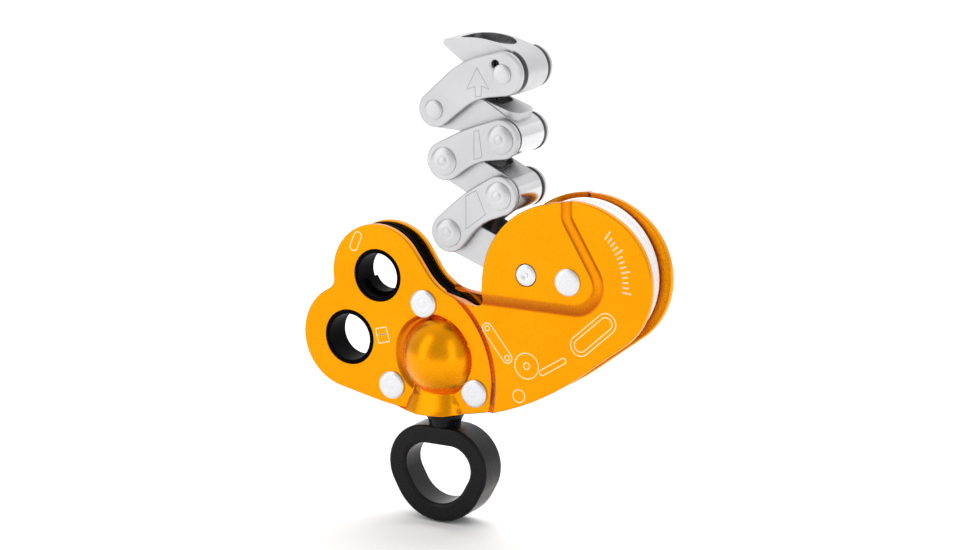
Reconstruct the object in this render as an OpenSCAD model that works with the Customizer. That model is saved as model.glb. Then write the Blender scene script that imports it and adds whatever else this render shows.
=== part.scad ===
// Chain ascender and descender for a climbing rope: two side plates that hold a sheave, a friction
// chain of pinned links that the rope is threaded through, and a swivelling eye on a ball bearing.
// X runs along the side plates, Y across them and Z up the rope. The origin is the centre of the
// lower attachment hole, on the mid-plane between the plates.

/* [Body] */
// Thickness of each side plate
plate_t = 2.5; // [2:0.1:3]
// Half of the body's thickness at the attachment holes
lobe_half = 5.5; // [5:0.1:6]
// Half of the body's thickness beside the sheave
cheek_half = 9; // [8.6:0.1:9.4]
// Half of the body's thickness where the chain enters it
boss_half = 11.2; // [10.9:0.1:11.5]
// Radius of the plate round the upper attachment hole
upper_lobe_r = 18.5; // [17.5:0.1:19]
// Radius of the plate round the lower attachment hole
lower_lobe_r = 19; // [18:0.1:19.5]
// Radius of the domed housing of the swivel
dome_r = 14.7; // [14.3:0.1:15]

/* [Attachment holes] */
// Outside radius of the lower bushing
lower_bush_r = 9.9; // [9.4:0.1:10.5]
// Bore radius of the lower bushing
lower_bore_r = 8.5; // [8:0.1:8.8]
// Outside radius of the upper bushing
upper_bush_r = 9.4; // [9:0.1:10]
// Bore radius of the upper bushing
upper_bore_r = 8.1; // [7.6:0.1:8.2]
// How far the keeper stands into the upper hole
keeper_lip = 1.4; // [0.8:0.1:1.8]

/* [Sheave] */
// Outside radius of the sheave
sheave_r = 25.8; // [24:0.1:26.4]
// Half of the sheave's width
sheave_half = 6.1; // [5.8:0.1:6.2]
// Radius of the rope groove
groove_r = 5.4; // [4.8:0.1:5.4]
// Radius of the sheave's axle
axle_r = 4; // [3.5:0.1:4.2]

/* [Friction chain] */
// Thickness of the outer plates of the chain
shackle_t = 2.4; // [2:0.1:2.5]
// Half of the width between the outer plates
shackle_gap = 9.1; // [9:0.05:9.2]
// Half of the width of the inner links
link_half = 8.4; // [8.1:0.05:8.4]
// Half of the width of the rope window in the links
rope_half = 6.6; // [6.4:0.05:6.7]
// Radius of the barrel ends of the inner links
barrel_r = 6.6; // [6.2:0.1:6.8]
// Radius of the chain pins
pin_r = 3; // [2.6:0.1:3.2]
// Radius of the chain pin heads
pin_head_r = 4.65; // [4.2:0.05:4.8]

/* [Swivel eye] */
// Half of the eye's thickness
eye_half = 6.1; // [5.6:0.1:6.4]
// Width of metal round the eye's opening
eye_band = 6.7; // [6.2:0.1:7]
// Radius of the eye's neck
eye_neck_r = 6.7; // [6.5:0.05:6.75]
// Radius of the bolt through the neck
bolt_r = 5; // [4.5:0.1:5]

/* [Hidden] */

// Gaps: a shaft that turns in its hole, a fixed shank in its hole, and parts that pass each other
turn_gap = 0.05;
fit_gap = 0.02;
// Steps of the arcs in an outline, in degrees
arc_step = 7.5;
round_fn = 64;
far = 60;
// How far a cut runs on into the space beside it
overlap = 1;

// Centres in the X-Z plane
upper_hole = [11.9, 24];
axle = [91.2, 31.8];
fork_pivot = [74.9, 32.4];
swivel_x = 36.4;
dome_z = -2.9;
rivets = [[31, 16], [17.8, -15.4], [51.5, -14.1]];

// Chain pins, left and right, from the body upwards
lower_pins = [[44.5, 44.1], [64.3, 59]];
middle_pins = [[42.8, 69.3], [65, 78.7]];
top_pins = [[39, 87], [65.7, 101.4]];

// Body outline as a belt round circles [x, z, radius, turn]: turn is 1 where the outline bulges
// out and -1 where it is hollow
body_belt = [
    [upper_hole[0], upper_hole[1], upper_lobe_r, 1],
    [-10.4, 20.6, 4, -1],
    [0, 0, lower_lobe_r, 1],
    [31, 80, 103.7, 1],
    [95.2, 31.8, 26.5, 1],
    [92, 29, 30.5, 1],
    [88.5, 27.5, 31, 1],
    [53.2, 22.3, 4, -1],
    [48.5, 39, 20, -1]
];
// The plates step outwards beyond this circle
step_centre = [22, -10];
step_r = 38.7;
// The boss round the fork pivot and the axle: its right end, the hollow above it, and corners
// outside the body
boss_belt = [
    [92.5, 30.5, 11.4, 1],
    [95.6, 55.2, 4, -1],
    [89.6, 75, 2, 1],
    [40, 75, 2, 1],
    [40, 21.1, 2, 1]
];

rivet_r = 3;
rivet_head_r = 4.7;
rivet_head_h = 1;
axle_head_r = 4.8;
axle_head_h = 0.9;
sleeve_r = 5.8;
pivot_r = 2.6;
pivot_head_r = 3.7;
pivot_head_h = 0.9;
pivot_stand = 0.2;
pivot_inner_stand = 0.1;

// Spacer between the plates, bushings and keeper
spacer_inset = 0.7;
spacer_gap = 0.2;
bush_stand = 0.3;
keeper_front = -1;
keeper_drop = 0.5;

// Ball bearings: [bore radius, outside radius, half width, ball circle radius, ball radius]
sheave_bearing = [axle_r + fit_gap, 11, 3.5, 7.5, 1.75];
swivel_bearing = [bolt_r + fit_gap, 11.5, 3.5, 8.25, 1.75];
race_land = 1.25;
shield_t = 0.4;
shield_gap = 0.1;
sheave_ball_count = 10;
swivel_ball_count = 12;
// How far outside the sheave's rim its groove is centred
groove_lift = 0.6;
swivel_bearing_z = dome_z;
bearing_top = swivel_bearing_z + swivel_bearing[2];
bearing_bottom = swivel_bearing_z - swivel_bearing[2];

// Swivel housing below the dome
neck_top_z = -15;
neck_bottom_z = -23.2;
neck_top_r = 9;
neck_bottom_r = 11.4;
neck_gap = 0.3;
neck_bore_r = eye_neck_r + neck_gap;
nut_space_r = 7.6;
nut_space_top = 8.2;
seal_r = 8.6;
seal_bottom = -23;
seal_h = 2;
seal_gap = 0.12;

// Swivel eye: the belt of its opening, the top of its shoulder and the bolt's length
eye_belt = [[5, -43.2, 8], [-5, -43.2, 8], [0, -46.4, 10.5]];
shoulder_z = -24;
shoulder_r = 6.85;
eye_top_z = -30;
bolt_head_r = 5.6;
bolt_head_z = -36.2;
bolt_head_top = -34.7;
bolt_hole_z = -38;
bolt_top = 6.4;
nut_r = 6.6;
nut_h = 5;

// Outer plates of the chain in their own frame: [left end radius, right end radius, rise, where,
// radius of the top, dip, where, radius of the dip]
lower_shape = [6.9, 7, 7.9, 12.4, 60, 4.6, 12.4, 22];
middle_shape = [6.9, 7, 7.7, 12.4, 60, 4.8, 12.1, 22];
top_shape = [6.3, 7.7, 10, 17.5, 30, 3.9, 15, 20];
top_pin_r = 2.5;
top_head_r = 3.3;
pin_head_h = 0.9;
top_head_h = 0.7;
washer_r = 5.8;
washer_gap = 0.12;
// The rope window leaves a thin bar at the left pin and the whole barrel at the right one
left_bar_r = 4.7;
window_corner = 3.5;
fork_floor = 7.2;
fork_eye_r = 6.3;
lock_hole = [62.9, 104.6];
lock_hole_r = 1.4;

// Release lever: circles of its side outline
lever_belt = [[top_pins[1][0], top_pins[1][1], 8, 1], [52, 77.4, 35, 1], [42.2, 110.1, 1.5, 1]];
lever_window = [8, 20];

axle_colour = "gainsboro";
steel = "silver";
orange = "orange";
black = [0.12, 0.12, 0.13];

// Direction of the straight run from one belt circle to the next
function run_angle(a, b) =
    let (d = [b[0] - a[0], b[1] - a[1]])
    atan2(d[1], d[0]) - asin((b[3] * b[2] - a[3] * a[2]) / norm(d));

function positive_turn(a) = (a + 720.001) % 360 - 0.001;

// Points of a closed belt round circles [x, z, radius, turn]
function belt_points(circles) = [
    for (i = [0 : len(circles) - 1])
        let (
            c = circles[i],
            before = circles[(i + len(circles) - 1) % len(circles)],
            after = circles[(i + 1) % len(circles)],
            into = run_angle(before, c),
            sweep = positive_turn(c[3] * (run_angle(c, after) - into)),
            steps = max(1, ceil(sweep / arc_step))
        )
        for (k = [0 : steps])
            let (a = into - 90 * c[3] + c[3] * sweep * k / steps)
            [c[0] + c[2] * cos(a), c[1] + c[2] * sin(a)]
];

// The same belt drawn inwards by a distance
function inset_belt(circles, inset) = [for (c = circles) [c[0], c[1], c[2] - c[3] * inset, c[3]]];

function pin_angle(pins) = atan2(pins[1][1] - pins[0][1], pins[1][0] - pins[0][0]);
function pin_pitch(pins) = norm(pins[1] - pins[0]);

// Outline of an outer chain plate of the given pitch: two round ends, a bulged top, a hollow bottom
function plate_belt(shape, pitch) = [
    [0, 0, shape[0], 1],
    [shape[6], -shape[5] - shape[7], shape[7], -1],
    [pitch, 0, shape[1], 1],
    [shape[3], shape[2] - shape[4], shape[4], 1]
];

// A flat shape in the X-Z plane, thick from y0 to y1
module slab(y0, y1) {
    translate([0, y1, 0])
        rotate([90, 0, 0])
            linear_extrude(y1 - y0)
                children();
}

// A round bar across the body, from y0 to y1
module bar(at, r, y0, y1) {
    translate([at[0], y1, at[1]])
        rotate([90, 0, 0])
            cylinder(r = r, h = y1 - y0, $fn = round_fn);
}

// A round bar along the swivel's axis
module post(r, z0, z1) {
    translate([swivel_x, 0, z0])
        cylinder(r = r, h = z1 - z0, $fn = round_fn);
}

// Places a part made about the origin on a pair of pins
module on_pins(pins) {
    translate([pins[0][0], 0, pins[0][1]])
        rotate([0, -pin_angle(pins), 0])
            children();
}

// A round bar across the body, with a chamfered head of height h at each end
module headed_bar(at, r, half, head_r, h) {
    chamfer = h / 2;
    bar(at, r, -half, half);
    for (side = [-1, 1])
        translate([at[0], side * half, at[1]])
            rotate([-90 * side, 0, 0])
                rotate_extrude($fn = round_fn)
                    polygon([[0, 0], [head_r, 0], [head_r, h - chamfer], [head_r - chamfer, h],
                        [0, h]]);
}

module ring_2d(r_out, r_in) {
    difference() {
        circle(r = r_out, $fn = round_fn);
        circle(r = r_in, $fn = round_fn);
    }
}

// One race of a ball bearing, about the Z axis, with its ball groove
module race(bearing, r_in, r_out) {
    rotate_extrude($fn = round_fn)
        difference() {
            translate([r_in, -bearing[2]])
                square([r_out - r_in, 2 * bearing[2]]);
            translate([bearing[3], 0])
                circle(r = bearing[4] + turn_gap, $fn = 32);
        }
}

module inner_race(bearing) {
    race(bearing, bearing[0], bearing[3] - race_land);
}

module outer_race(bearing) {
    race(bearing, bearing[3] + race_land, bearing[1] - fit_gap);
}

module balls(bearing, count) {
    for (i = [0 : count - 1])
        rotate([0, 0, 360 * i / count])
            translate([bearing[3], 0, 0])
                sphere(r = bearing[4], $fn = 32);
}

module on_axle() {
    translate([axle[0], 0, axle[1]])
        rotate([90, 0, 0])
            children();
}

module on_swivel() {
    translate([swivel_x, 0, swivel_bearing_z])
        children();
}

// ---- Body ----

module body_outline(inset = 0) {
    polygon(belt_points(inset_belt(body_belt, inset)));
}

// The part of the outline that stays thin: everything left of the step
module thin_region(r) {
    translate(step_centre)
        circle(r = r, $fn = 96);
    translate([-far, -far])
        square([far + swivel_x, 2 * far]);
}

module boss_outline(inset = 0) {
    polygon(belt_points(inset_belt(boss_belt, inset)));
}

// Everything that is bored through the plates and the spacer
module body_bores() {
    bar([0, 0], lower_bush_r + fit_gap, -far, far);
    bar(upper_hole, upper_bush_r + fit_gap, -far, far);
    for (at = rivets)
        bar(at, rivet_r + fit_gap, -far, far);
}

// The room for the swivel inside the dome, the neck and the spacer
module swivel_cavity() {
    post(swivel_bearing[1], bearing_bottom, bearing_top);
    post(nut_space_r, bearing_top - overlap, nut_space_top);
    post(neck_bore_r, -far, bearing_bottom + overlap);
    post(seal_r, -far, seal_bottom + seal_h);
}

// The front plate; the rear one is its mirror image
module side_plate() {
    core_half = lobe_half - plate_t;
    difference() {
        union() {
            slab(-lobe_half, -core_half)
                intersection() {
                    body_outline();
                    thin_region(step_r - plate_t / 2);
                }
            slab(-cheek_half, plate_t - cheek_half)
                difference() {
                    body_outline();
                    thin_region(step_r - plate_t);
                    boss_outline(plate_t);
                }
            slab(-cheek_half, -core_half)
                intersection() {
                    body_outline();
                    difference() {
                        thin_region(step_r);
                        thin_region(step_r - plate_t);
                    }
                }
            slab(-boss_half, plate_t - boss_half)
                intersection() {
                    body_outline();
                    boss_outline();
                }
            slab(-boss_half, plate_t - cheek_half)
                intersection() {
                    body_outline();
                    difference() {
                        boss_outline();
                        boss_outline(plate_t);
                    }
                }
            intersection() {
                translate([swivel_x, 0, dome_z])
                    sphere(r = dome_r, $fn = round_fn);
                translate([swivel_x - far / 2, -far, dome_z - far / 2])
                    cube([far, far - core_half, far]);
            }
            intersection() {
                translate([swivel_x, 0, neck_bottom_z])
                    cylinder(r1 = neck_bottom_r, r2 = neck_top_r, h = neck_top_z - neck_bottom_z,
                        $fn = round_fn);
                translate([swivel_x - far / 2, -far, neck_bottom_z - overlap])
                    cube([far, far - core_half, far]);
            }
        }
        body_bores();
        swivel_cavity();
        bar(axle, axle_r + fit_gap, -far, 0);
        bar(fork_pivot, pivot_r + fit_gap, -far, 0);
        bar(fork_pivot, pivot_head_r + fit_gap, -far, pivot_head_h - pivot_stand - boss_half);
    }
}

module front_side_plate() {
    color(orange)
        side_plate();
}

module rear_side_plate() {
    color(orange)
        mirror([0, 1, 0])
            side_plate();
}

module core_spacer() {
    core_half = lobe_half - plate_t;
    color(black)
        difference() {
            slab(-core_half, core_half)
                intersection() {
                    body_outline(spacer_inset);
                    thin_region(step_r - plate_t - spacer_gap);
                }
            body_bores();
            swivel_cavity();
        }
}

module lower_bushing() {
    color(black)
        difference() {
            bar([0, 0], lower_bush_r, -lobe_half - bush_stand, lobe_half + bush_stand);
            bar([0, 0], lower_bore_r, -far, far);
        }
}

module upper_bushing() {
    color(black)
        difference() {
            bar(upper_hole, upper_bush_r, -lobe_half - bush_stand, lobe_half + bush_stand);
            bar(upper_hole, upper_bore_r, -far, far);
        }
}

// Half ring that narrows the lower half of the upper hole behind its front edge
module upper_hole_keeper() {
    color(black)
        slab(keeper_front, lobe_half)
            translate(upper_hole)
                difference() {
                    ring_2d(upper_bore_r - fit_gap, upper_bore_r - keeper_lip);
                    translate([-far / 2, -keeper_drop])
                        square([far, far]);
                }
}

module body_rivets() {
    color(axle_colour)
        for (at = rivets)
            headed_bar(at, rivet_r, lobe_half, rivet_head_r, rivet_head_h);
}

module sheave_axle() {
    color(axle_colour)
        headed_bar(axle, axle_r, boss_half, axle_head_r, axle_head_h);
}

// Sleeves that centre the inner race between the plates
module axle_sleeves() {
    inner = boss_half - plate_t;
    color(steel)
        on_axle()
            for (side = [0, 1])
                mirror([0, 0, side])
                    translate([0, 0, sheave_bearing[2]])
                        linear_extrude(inner - sheave_bearing[2])
                            ring_2d(sleeve_r, axle_r + fit_gap);
}

// Two short rivets that carry the fork link, one in each plate
module chain_pivots() {
    inner_end = rope_half - pivot_inner_stand;
    color(axle_colour)
        for (side = [0, 1])
            mirror([0, side, 0]) {
                bar(fork_pivot, pivot_r, -boss_half, -inner_end);
                bar(fork_pivot, pivot_head_r, -boss_half - pivot_stand,
                    pivot_head_h - pivot_stand - boss_half);
            }
}

// ---- Sheave ----

module sheave() {
    groove_centre = sheave_r + groove_lift;
    color("whitesmoke")
        on_axle()
            rotate_extrude($fn = 96)
                difference() {
                    translate([sheave_bearing[1], -sheave_half])
                        square([sheave_r - sheave_bearing[1], 2 * sheave_half]);
                    translate([groove_centre, 0])
                        circle(r = groove_r, $fn = 48);
                }
}

module sheave_outer_race() {
    color(steel)
        on_axle()
            outer_race(sheave_bearing);
}

module sheave_inner_race() {
    color(steel)
        on_axle()
            inner_race(sheave_bearing);
}

module sheave_balls() {
    color("white")
        on_axle()
            balls(sheave_bearing, sheave_ball_count);
}

module sheave_shields() {
    color(black)
        on_axle()
            for (side = [0, 1])
                mirror([0, 0, side])
                    translate([0, 0, sheave_bearing[2] - shield_t])
                        linear_extrude(shield_t)
                            ring_2d(sheave_bearing[3] + race_land - fit_gap,
                                sheave_bearing[3] - race_land + shield_gap);
}

// ---- Swivel ----

module eye_outline(grow) {
    polygon(belt_points([for (c = eye_belt) [c[0], c[1], c[2] + grow, 1]]));
}

module swivel_eye() {
    color(black)
        difference() {
            union() {
                translate([swivel_x, 0, 0])
                    slab(-eye_half, eye_half)
                        eye_outline(eye_band);
                post(shoulder_r, eye_top_z, shoulder_z);
                post(eye_neck_r, eye_top_z, bearing_bottom);
            }
            translate([swivel_x, 0, 0])
                slab(-far, far)
                    eye_outline(0);
            post(bolt_r + fit_gap, bolt_hole_z, far);
            post(bolt_head_r + fit_gap, bolt_hole_z, bolt_head_top);
        }
}

module swivel_bolt() {
    color(steel)
        union() {
            post(bolt_r, bolt_head_z, bolt_top);
            post(bolt_head_r, bolt_head_z, bolt_head_top);
        }
}

module swivel_nut() {
    color(steel)
        difference() {
            translate([swivel_x, 0, bearing_top])
                cylinder(r = nut_r, h = nut_h, $fn = 6);
            post(bolt_r + fit_gap, -far, far);
        }
}

module swivel_inner_race() {
    color(steel)
        on_swivel()
            inner_race(swivel_bearing);
}

module swivel_outer_race() {
    color(steel)
        on_swivel()
            outer_race(swivel_bearing);
}

module swivel_balls() {
    color("white")
        on_swivel()
            balls(swivel_bearing, swivel_ball_count);
}

module swivel_seal() {
    color(black)
        translate([swivel_x, 0, seal_bottom])
            linear_extrude(seal_h - fit_gap)
                ring_2d(seal_r - fit_gap, eye_neck_r + seal_gap);
}

// ---- Friction chain ----

// One outer plate on its pins; side is -1 at the front and 1 at the rear
module chain_plate(pins, shape, bore_r, side) {
    pitch = pin_pitch(pins);
    y_mid = side * (shackle_gap + shackle_t / 2);
    color(steel)
        on_pins(pins)
            difference() {
                slab(y_mid - shackle_t / 2, y_mid + shackle_t / 2)
                    polygon(belt_points(plate_belt(shape, pitch)));
                for (u = [0, pitch])
                    bar([u, 0], bore_r + fit_gap, -far, far);
            }
}

module chain_pin(at, r, head_r, head_h) {
    color(steel)
        headed_bar(at, r, shackle_gap + shackle_t, head_r, head_h);
}

// Thin washers between the outer plates and the inner links on both pins
module chain_washers(pins, bore_r) {
    color(black)
        for (at = pins, side = [0, 1])
            mirror([0, side, 0])
                slab(-shackle_gap, -link_half - washer_gap)
                    translate(at)
                        ring_2d(washer_r, bore_r + fit_gap);
}

// An opening for the rope, cut square to the link between u0 and u1
module rope_window(u0, u1) {
    mid = (u0 + u1) / 2;
    long = (u1 - u0) / 2 - window_corner;
    wide = rope_half - window_corner;
    corners = [[-long, -wide], [long, -wide], [long, wide], [-long, wide]];
    translate([mid, 0, -far / 2])
        linear_extrude(far)
            polygon(belt_points([for (c = corners) [c[0], c[1], window_corner, 1]]));
}

// A ring-shaped inner link on its pins
module ring_link(pins, left_pin_r, right_pin_r) {
    pitch = pin_pitch(pins);
    color(steel)
        on_pins(pins)
            difference() {
                slab(-link_half, link_half)
                    polygon(belt_points([[0, 0, barrel_r, 1], [pitch, 0, barrel_r, 1]]));
                rope_window(left_bar_r, pitch - barrel_r);
                bar([0, 0], left_pin_r + turn_gap, -far, far);
                bar([pitch, 0], right_pin_r + turn_gap, -far, far);
            }
}

// The lowest link: a fork whose arms reach past the sheave to the pivots in the plates
module fork_link() {
    pins = [lower_pins[0], fork_pivot];
    pitch = pin_pitch(pins);
    color(steel)
        on_pins(pins)
            difference() {
                slab(-link_half, link_half)
                    polygon(belt_points([[0, 0, barrel_r, 1], [pitch, 0, fork_eye_r, 1]]));
                translate([fork_floor, -rope_half, -far / 2])
                    cube([far, 2 * rope_half, far]);
                bar([0, 0], pin_r + turn_gap, -far, far);
                bar([pitch, 0], pivot_r + turn_gap, -far, far);
            }
}

module lower_front_plate() {
    chain_plate(lower_pins, lower_shape, pin_r, -1);
}

module lower_rear_plate() {
    chain_plate(lower_pins, lower_shape, pin_r, 1);
}

module lower_left_pin() {
    chain_pin(lower_pins[0], pin_r, pin_head_r, pin_head_h);
}

module lower_right_pin() {
    chain_pin(lower_pins[1], pin_r, pin_head_r, pin_head_h);
}

module lower_washers() {
    chain_washers(lower_pins, pin_r);
}

module lower_inner_link() {
    ring_link([middle_pins[0], lower_pins[1]], pin_r, pin_r);
}

module middle_front_plate() {
    chain_plate(middle_pins, middle_shape, pin_r, -1);
}

module middle_rear_plate() {
    chain_plate(middle_pins, middle_shape, pin_r, 1);
}

module middle_left_pin() {
    chain_pin(middle_pins[0], pin_r, pin_head_r, pin_head_h);
}

module middle_right_pin() {
    chain_pin(middle_pins[1], pin_r, pin_head_r, pin_head_h);
}

module middle_washers() {
    chain_washers(middle_pins, pin_r);
}

module upper_inner_link() {
    ring_link([top_pins[0], middle_pins[1]], top_pin_r, pin_r);
}

module top_front_plate() {
    color(steel)
        difference() {
            chain_plate(top_pins, top_shape, top_pin_r, -1);
            bar(lock_hole, lock_hole_r, -far, 0);
        }
}

module top_rear_plate() {
    chain_plate(top_pins, top_shape, top_pin_r, 1);
}

module top_left_pin() {
    chain_pin(top_pins[0], top_pin_r, top_head_r, top_head_h);
}

module lever_pin() {
    chain_pin(top_pins[1], top_pin_r, top_head_r, top_head_h);
}

module top_washers() {
    chain_washers(top_pins, top_pin_r);
}

// The top link: a ring that the rope enters by, drawn out into a thumb lever
module release_lever() {
    color(steel)
        difference() {
            slab(-link_half, link_half)
                polygon(belt_points(lever_belt));
            translate([top_pins[1][0], 0, top_pins[1][1]])
                rotate([0, 0, 180])
                    rope_window(lever_window[0], lever_window[1]);
            bar(top_pins[1], top_pin_r + turn_gap, -far, far);
        }
}

front_side_plate();
rear_side_plate();
core_spacer();
lower_bushing();
upper_bushing();
upper_hole_keeper();
body_rivets();
sheave_axle();
axle_sleeves();
chain_pivots();
sheave();
sheave_outer_race();
sheave_inner_race();
sheave_balls();
sheave_shields();
swivel_eye();
swivel_bolt();
swivel_nut();
swivel_inner_race();
swivel_outer_race();
swivel_balls();
swivel_seal();
fork_link();
lower_front_plate();
lower_rear_plate();
lower_left_pin();
lower_right_pin();
lower_washers();
lower_inner_link();
middle_front_plate();
middle_rear_plate();
middle_left_pin();
middle_right_pin();
middle_washers();
upper_inner_link();
top_front_plate();
top_rear_plate();
top_left_pin();
lever_pin();
top_washers();
release_lever();
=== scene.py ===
"""Looks and detail of a chain ascender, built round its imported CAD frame.

Blender works in metres. The sizes below are in millimetres, in the frame's own axes: X along the
side plates, Y across them and Z up the rope, from the centre of the lower attachment hole.
Heights and depths of the side plates are distances from the middle plane, y = 0.
"""

import math

import bmesh
import bpy
import numpy as np
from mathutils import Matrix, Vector
from mathutils.geometry import delaunay_2d_cdt


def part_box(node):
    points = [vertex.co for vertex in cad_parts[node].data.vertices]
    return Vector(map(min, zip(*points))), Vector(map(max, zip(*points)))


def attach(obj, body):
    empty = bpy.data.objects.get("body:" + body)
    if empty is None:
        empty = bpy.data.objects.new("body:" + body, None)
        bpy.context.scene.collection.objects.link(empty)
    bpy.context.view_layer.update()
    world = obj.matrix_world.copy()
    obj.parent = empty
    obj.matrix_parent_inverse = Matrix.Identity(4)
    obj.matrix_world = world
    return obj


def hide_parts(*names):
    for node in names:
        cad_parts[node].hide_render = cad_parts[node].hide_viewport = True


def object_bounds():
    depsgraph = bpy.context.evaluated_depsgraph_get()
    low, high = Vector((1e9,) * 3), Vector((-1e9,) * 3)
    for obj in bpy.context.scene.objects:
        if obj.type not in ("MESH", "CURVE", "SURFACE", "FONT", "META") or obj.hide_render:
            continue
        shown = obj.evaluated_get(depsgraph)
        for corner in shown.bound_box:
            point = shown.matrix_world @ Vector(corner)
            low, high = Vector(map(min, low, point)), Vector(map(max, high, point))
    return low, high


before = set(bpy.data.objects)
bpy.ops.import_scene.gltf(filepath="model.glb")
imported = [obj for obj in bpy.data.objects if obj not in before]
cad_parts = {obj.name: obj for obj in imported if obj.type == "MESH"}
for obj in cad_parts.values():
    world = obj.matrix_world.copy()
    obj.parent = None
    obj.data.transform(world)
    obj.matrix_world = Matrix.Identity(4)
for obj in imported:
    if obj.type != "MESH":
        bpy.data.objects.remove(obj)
CAD_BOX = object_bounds()
MM = 0.001


def centre(node):
    """The middle of a CAD node in the X-Z plane."""
    lo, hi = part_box(node)
    return np.array([(lo[0] + hi[0]) / 2 / MM, (lo[2] + hi[2]) / 2 / MM])


# ---- Driving sizes ----
# Side plates: outer faces at the attachment holes, beside the sheave and on the chain's boss
PLATE_T = 2.5
LOBE, CHEEK, BOSS = 5.5, 9.0, 11.2
UPPER_HOLE, LOWER_HOLE = centre("upper_bushing"), centre("lower_bushing")
AXLE, FORK_PIVOT = centre("sheave_axle"), centre("chain_pivots")
SWIVEL_X = centre("swivel_outer_race")[0]
DOME = np.array([SWIVEL_X, centre("swivel_outer_race")[1]])
DOME_R, DOME_CROWN, DOME_WALL = 15.1, 14.6, 2.2
GROOVE_AT, GROOVE_R, GROOVE_DEEP, GROOVE_SLOPE = DOME + (-1.8, 0), 15.6, 1.0, 1.8
UPPER_BUSH_R, UPPER_BORE_R = 9.4, 8.1
LOWER_BUSH_R, LOWER_BORE_R = 9.9, 8.5
KEEPER_BORE_R = 6.7
BUSH_FIT, BUSH_PROUD = 0.02, 0.3
RIM = 0.4
# Radius round the axle inside which the plates' inner faces get painted shade
SHEAVE_ROOM_R = 28.4

# Rivets, axle and pivots: shank, head radius and head height
RIVETS = [(31, 16), (17.8, -15.4), (51.5, -14.1)]
RIVET_R, RIVET_HEAD_R, RIVET_HEAD_H = 3.0, 5.1, 1.15
AXLE_R, AXLE_HEAD_R, AXLE_HEAD_H = 4.0, 4.8, 0.9
PIVOT_R, PIVOT_HEAD_R, PIVOT_HOLE_R = 2.6, 3.9, 4.0

# Outlines are belts round circles (x, z, radius, turn), with turn 1 on a bulge and -1 on a hollow
BODY = [
    (11.9, 24, 18.5, 1), (-10.4, 20.6, 4, -1), (0, 0, 19, 1), (31, 80, 103.7, 1),
    (95.2, 31.8, 26.5, 1), (92, 29, 30.5, 1), (88.5, 27.5, 31, 1), (53.2, 22.3, 4, -1),
    (48.5, 39, 20, -1),
]
REAR_BODY = [
    (13, 24, 18.6, 1), *BODY[1:5], (92, 29, 30.6, 1), (89.3, 28, 31.2, 1), BODY[7],
    (48.5, 39, 19.3, -1),
]
BOSS_FOOT = [
    (92.5, 30.5, 11.4, 1), (95.6, 55.2, 4, -1), (89.6, 75, 2, 1), (40, 75, 2, 1), (40, 21.1, 2, 1),
]
BOSS_SLOPE_SIDE, BOSS_SLOPE_BASE = 3.3, 5.4
BOSS_ROOM_INSET, BOSS_ROOM_SLOPE = 0.8, 2.2
STEP_AT, STEP_FOOT, STEP_TOP, STEP_EASE = np.array([22, -10]), 36.3, 40.2, 0.25
STEP_SHIFT_INSIDE = 1.5
NECK_X, NECK_TOP_Z, NECK_BASE_Z = SWIVEL_X - 1.4, -14.0, -23.2
NECK_WIDE, NECK_HIGH = (9.0, 12.4), (6.8, 10.4)
SEAL_ROOM_R, SEAL_ROOM_TOP_Z = 8.7, -20.8
STEM_ROOM_R, STEM_ROOM_TOP_Z = 5.9, -8
SPACER_HALF = 3.0

# Sheave
RIM_R, RIM_HALF = 26.4, 6.1
ROPE_GROOVE_DEPTH, ROPE_GROOVE_HALF = 3.2, 4.6

# Chain pins, and plates as (left radius, right radius, rise, its place and radius, dip, its place
# and radius)
PIN = {n: centre(n) for n in (
    "lower_left_pin", "lower_right_pin", "middle_left_pin", "middle_right_pin", "top_left_pin",
    "lever_pin")}
SHACKLE_IN, SHACKLE_OUT = 9.1, 11.5
PLATE_SHAPES = {
    "lower": (6.9, 7, 7.9, 12.4, 60, 4.6, 12.4, 22),
    "middle": (6.9, 7, 7.7, 12.4, 60, 4.8, 12.1, 22),
    "top": (6.3, 7.7, 10, 17.5, 30, 3.9, 15, 20),
}
PIN_R, PIN_HEAD_R, PIN_HEAD_H = 3.0, 4.95, 0.9
TOP_PIN_R, TOP_HEAD_R, TOP_HEAD_H = 2.5, 3.45, 0.7
PIN_FIT = 0.05
LOCK_HOLE, LOCK_HOLE_R = np.array([62.9, 104.6]), 1.4
LINK_HALF, ROPE_HALF = 8.1, 6.6
LINK_R, BARREL_R = 6.9, 6.6
LINK_WINDOW = 4.7
FORK_END_R, FORK_MOUTH = 6.3, 7.2
UPPER_LINK = (6.9, 6.7, 9.5, 12.5, 30, 4.2, 13, 20)

# The upper link's raised rim: its ends from the left pin and past the right pin, its inset from
# the link's sides, its corners and its heights
LIP_LEFT, LIP_RIGHT, LIP_INSET, LIP_CORNER, LIP_BASE, LIP_TOP = 4.1, 1.5, 0.5, 4.4, 5.0, 9.4

# Release lever: its side as a belt round the hub, the back and the tip, the waist cut in its
# sides at the hub, its rope window and the mouth in its top
HUB_R, LEVER_BACK, LEVER_TIP = 8, (52, 77.4, 35, 1), (42.2, 110.1, 1.5, 1)
WAIST_R, WAIST_HALF = 6.3, 7.1
LEVER_WINDOW, MOUTH, MOUTH_R, MOUTH_FLOOR_Z = (45.7, 57.7), (55.2, 57.9), 6.4, 109.0

# Washers: radii at the left and right pins, and the gap that they fill along Y
WASHER_LEFT_R, WASHER_RIGHT_R = 6.1, 6.6
WASHER_IN, WASHER_IN_LEVER, WASHER_OUT = 8.2, 7.2, 9.05

# Outlines scribed on the front chain plates, in the rest pose: an arrow and two plain figures
SCRIBED_TOP = [
    (56.0, 102.9), (60.7, 95.8), (57.8, 96.8), (57.6, 93.2), (55.4, 92.8), (55.2, 96.4),
    (51.9, 95.1),
]
SCRIBED_MIDDLE = [
    (54.8, 80.8), (56.6, 81.3), (58.0, 72.2), (54.8, 71.0),
]
SCRIBED_LOWER = [
    (51.6, 57.9), (55.6, 60.3), (59.3, 52.2), (51.6, 46.3),
]

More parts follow.
